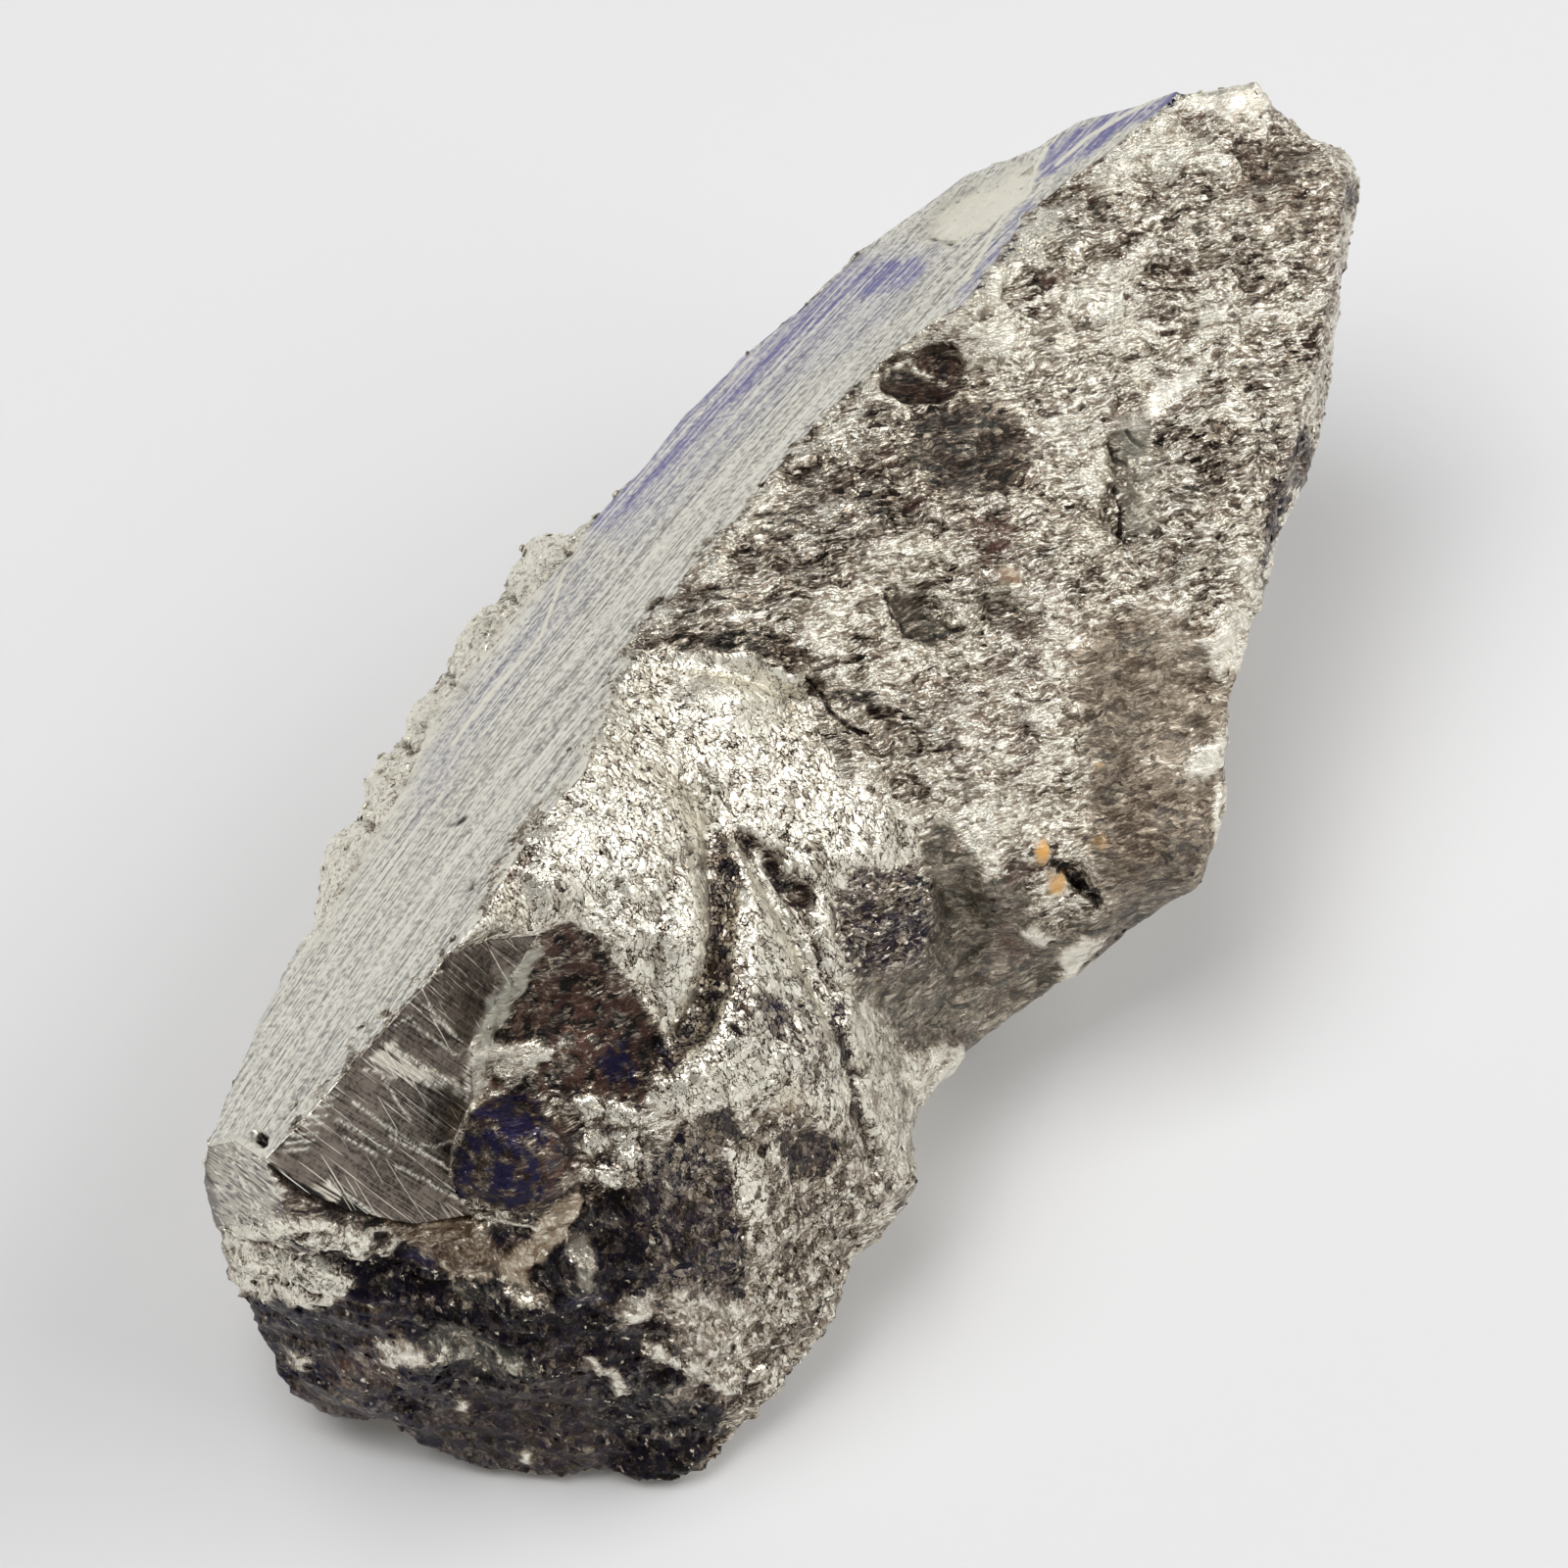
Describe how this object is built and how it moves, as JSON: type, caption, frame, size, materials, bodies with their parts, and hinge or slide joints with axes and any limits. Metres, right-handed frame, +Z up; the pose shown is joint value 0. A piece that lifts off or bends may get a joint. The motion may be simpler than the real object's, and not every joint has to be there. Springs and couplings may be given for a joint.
{
  "type": "pyrite specimen",
  "caption": "Broken lump of massive silvery metallic ore with one long sawn face, a rough fracture face, a dark cleavage facet and a flat underside to rest on.",
  "frame": {"origin": "middle of the stone's box, on the surface it rests on", "axes": "+Z up from the resting face, +Y along the stone's length from the folded end to the crown"},
  "size_m": [0.0394, 0.086, 0.0359],
  "materials": {
    "pyrite": "rough metallic fracture with one satin sawn face"
  },
  "bodies": {
    "root": {"pyrite_mass": "pyrite"}
  },
  "joints": []
}
